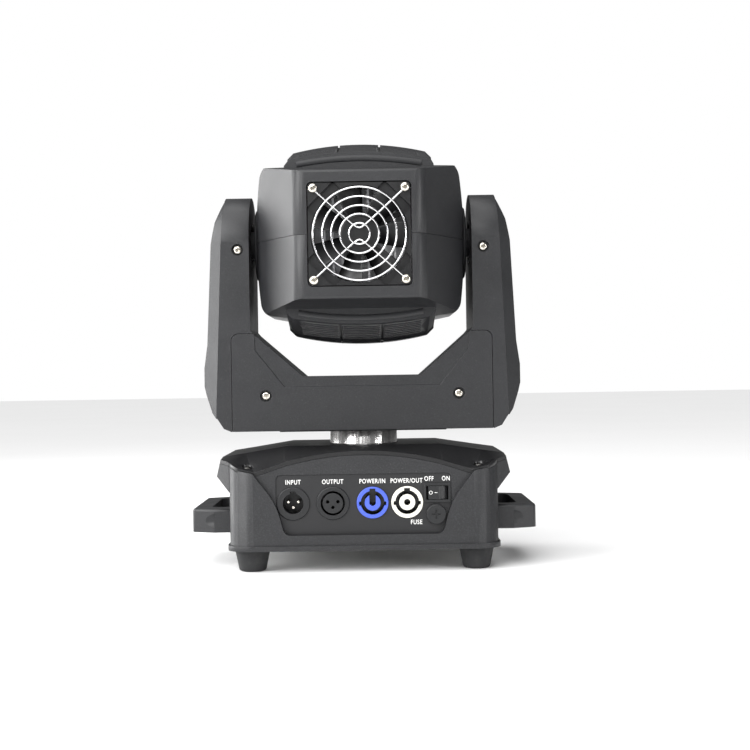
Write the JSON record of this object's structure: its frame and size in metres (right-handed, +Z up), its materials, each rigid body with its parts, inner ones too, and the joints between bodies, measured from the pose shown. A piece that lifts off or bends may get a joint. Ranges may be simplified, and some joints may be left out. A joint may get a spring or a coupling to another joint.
{
  "type": "moving head light",
  "caption": "Moving head stage light: base with data and power sockets, turning U-shaped yoke and tilting lamp head with rear fan and front lens.",
  "frame": {"origin": "where the pan axis meets the floor, at the middle of the base's footprint", "axes": "+Z up along the pan axis, +Y forward out of the lens, +X along the tilt axis; the sockets and the fan face -Y"},
  "size_m": [0.277, 0.1828, 0.346],
  "materials": {
    "housing_plastic": "fine grained dark grey moulding",
    "cover_plastic": "smooth black moulding",
    "panel_black": "black coated plate",
    "socket_black": "satin black moulding",
    "power_blue": "semi gloss blue",
    "power_white": "semi gloss off-white",
    "foot_rubber": "matt rubber",
    "belt_rubber": "matt rubber",
    "screw_nickel": "nickel plated",
    "guard_chrome": "bright chromed wire",
    "tube_steel": "turned and polished",
    "sheet_steel": "zinc plated sheet",
    "motor_black": "black motor body",
    "pulley_aluminium": "plain machined",
    "board_green": "green circuit board",
    "lens_glass": "clear coated lens",
    "screen_glass": "dark display window"
  },
  "bodies": {
    "base": {"base_housing": "housing_plastic", "base_top_cover": "cover_plastic", "base_bottom_plate": "sheet_steel", "base_feet": "foot_rubber", "base_cover_screws": "screw_nickel", "side_handle_right": "housing_plastic", "side_handle_left": "housing_plastic", "connector_panel": "panel_black", "xlr_in_socket": "socket_black", "xlr_in_pins": "screw_nickel", "xlr_out_socket": "socket_black", "power_in_socket": "power_blue", "power_out_socket": "power_white", "switch_frame": "socket_black", "display_panel": "panel_black", "display_screen": "screen_glass", "bearing_plate": "sheet_steel", "pan_bearing": "tube_steel", "pan_motor": "motor_black", "pan_belt": "belt_rubber", "power_supply": "sheet_steel", "main_board": "board_green"},
    "rocker": {"switch_rocker": "socket_black"},
    "fuse": {"fuse_cap": "socket_black"},
    "key_menu": {"button_menu": "socket_black"},
    "key_down": {"button_down": "socket_black"},
    "key_up": {"button_up": "socket_black"},
    "key_enter": {"button_enter": "socket_black"},
    "pan_drive": {"pan_pinion": "pulley_aluminium"},
    "yoke": {"yoke_frame": "sheet_steel", "pan_tube": "tube_steel", "cross_rear_cover": "housing_plastic", "arm_rear_shell_right": "housing_plastic", "arm_rear_shell_left": "housing_plastic", "yoke_front_cover": "housing_plastic", "yoke_screws": "screw_nickel", "arm_side_cover_right": "housing_plastic", "arm_side_cover_left": "housing_plastic", "tilt_bearings": "tube_steel", "tilt_motor": "motor_black", "tilt_belt": "belt_rubber"},
    "tilt_drive": {"tilt_pinion": "pulley_aluminium"},
    "head": {"head_upper_shell": "housing_plastic", "head_lower_shell": "housing_plastic", "upper_vent_hood": "housing_plastic", "lower_vent_hood": "housing_plastic", "tilt_hubs": "housing_plastic", "tilt_pulley": "pulley_aluminium", "head_frame": "sheet_steel", "heat_sink": "pulley_aluminium", "led_board": "board_green", "fan_frame": "cover_plastic", "fan_guard": "guard_chrome", "fan_screws": "screw_nickel", "wheel_motors": "motor_black", "front_bezel": "housing_plastic", "front_lens": "lens_glass"},
    "fan": {"fan_impeller": "cover_plastic"},
    "colours": {"colour_wheel": "pulley_aluminium"},
    "gobos": {"gobo_wheel": "pulley_aluminium"}
  },
  "joints": [
    {"name": "pan", "type": "hinge", "parent": "base", "child": "yoke", "pos_m": [0, 0, 0.1], "axis": [0, 0, 1], "range_deg": [-270, 270]},
    {"name": "pan_pinion_turn", "type": "hinge", "parent": "base", "child": "pan_drive", "pos_m": [0.062, 0, 0.06], "axis": [0, 0, 1], "range_deg": [-1215, 1215]},
    {"name": "tilt", "type": "hinge", "parent": "yoke", "child": "head", "pos_m": [0, 0, 0.26296], "axis": [1, 0, 0], "range_deg": [-45, 225]},
    {"name": "tilt_pinion_turn", "type": "hinge", "parent": "yoke", "child": "tilt_drive", "pos_m": [-0.1, 0, 0.1332], "axis": [1, 0, 0], "range_deg": [-135, 675]},
    {"name": "fan_spin", "type": "hinge", "parent": "head", "child": "fan", "pos_m": [0, -0.076, 0.26296], "axis": [0, 1, 0], "continuous": true},
    {"name": "colour_turn", "type": "hinge", "parent": "head", "child": "colours", "pos_m": [0.027, -0.016, 0.26296], "axis": [0, 1, 0], "continuous": true},
    {"name": "gobo_turn", "type": "hinge", "parent": "head", "child": "gobos", "pos_m": [-0.027, -0.009, 0.26296], "axis": [0, 1, 0], "continuous": true},
    {"name": "rocker_flip", "type": "hinge", "parent": "base", "child": "rocker", "pos_m": [0.0575, -0.0798, 0.0606], "axis": [0, 0, 1], "range_deg": [-24, 0]},
    {"name": "fuse_turn", "type": "hinge", "parent": "base", "child": "fuse", "pos_m": [0.0565, -0.0832, 0.0439], "axis": [0, -1, 0], "range_deg": [-90, 0]},
    {"name": "press_menu", "type": "slide", "parent": "base", "child": "key_menu", "axis": [0, -1, 0], "range_m": [0, 0.001], "stiffness_N_per_m": 300, "springref_m": -0.001},
    {"name": "press_down", "type": "slide", "parent": "base", "child": "key_down", "axis": [0, -1, 0], "range_m": [0, 0.001], "stiffness_N_per_m": 300, "springref_m": -0.001},
    {"name": "press_up", "type": "slide", "parent": "base", "child": "key_up", "axis": [0, -1, 0], "range_m": [0, 0.001], "stiffness_N_per_m": 300, "springref_m": -0.001},
    {"name": "press_enter", "type": "slide", "parent": "base", "child": "key_enter", "axis": [0, -1, 0], "range_m": [0, 0.001], "stiffness_N_per_m": 300, "springref_m": -0.001}
  ],
  "couplings": [
    {"joint": "pan_pinion_turn", "follows": "pan", "ratio": 4.5},
    {"joint": "tilt_pinion_turn", "follows": "tilt", "ratio": 3}
  ]
}
